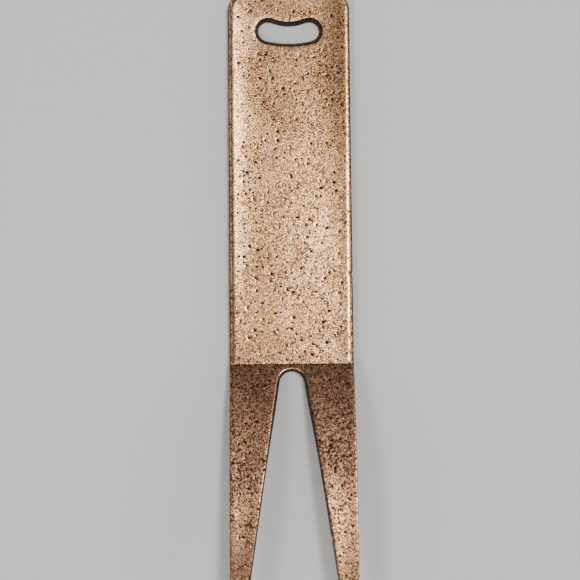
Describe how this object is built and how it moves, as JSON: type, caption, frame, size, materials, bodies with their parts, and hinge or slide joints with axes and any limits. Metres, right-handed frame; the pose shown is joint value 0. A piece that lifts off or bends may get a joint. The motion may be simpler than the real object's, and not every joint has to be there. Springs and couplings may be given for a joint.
{
  "type": "divot repair tool",
  "caption": "Flat stamped-metal golf divot tool with a bean-shaped lanyard slot at one end and a raised, arched fork with tapering tines at the other.",
  "frame": {"origin": "under the middle of the tool's outline, on the plane that the flat handle rests on", "axes": "+X across the tool, +Y from the tine tips towards the round-cornered end with the slot, +Z out of the front face"},
  "size_m": [0.016, 0.0848, 0.0062],
  "materials": {
    "aged_copper": "worn antique copper, satin, speckled with dark pits"
  },
  "bodies": {
    "root": {"tool_body": "aged_copper"}
  },
  "joints": []
}
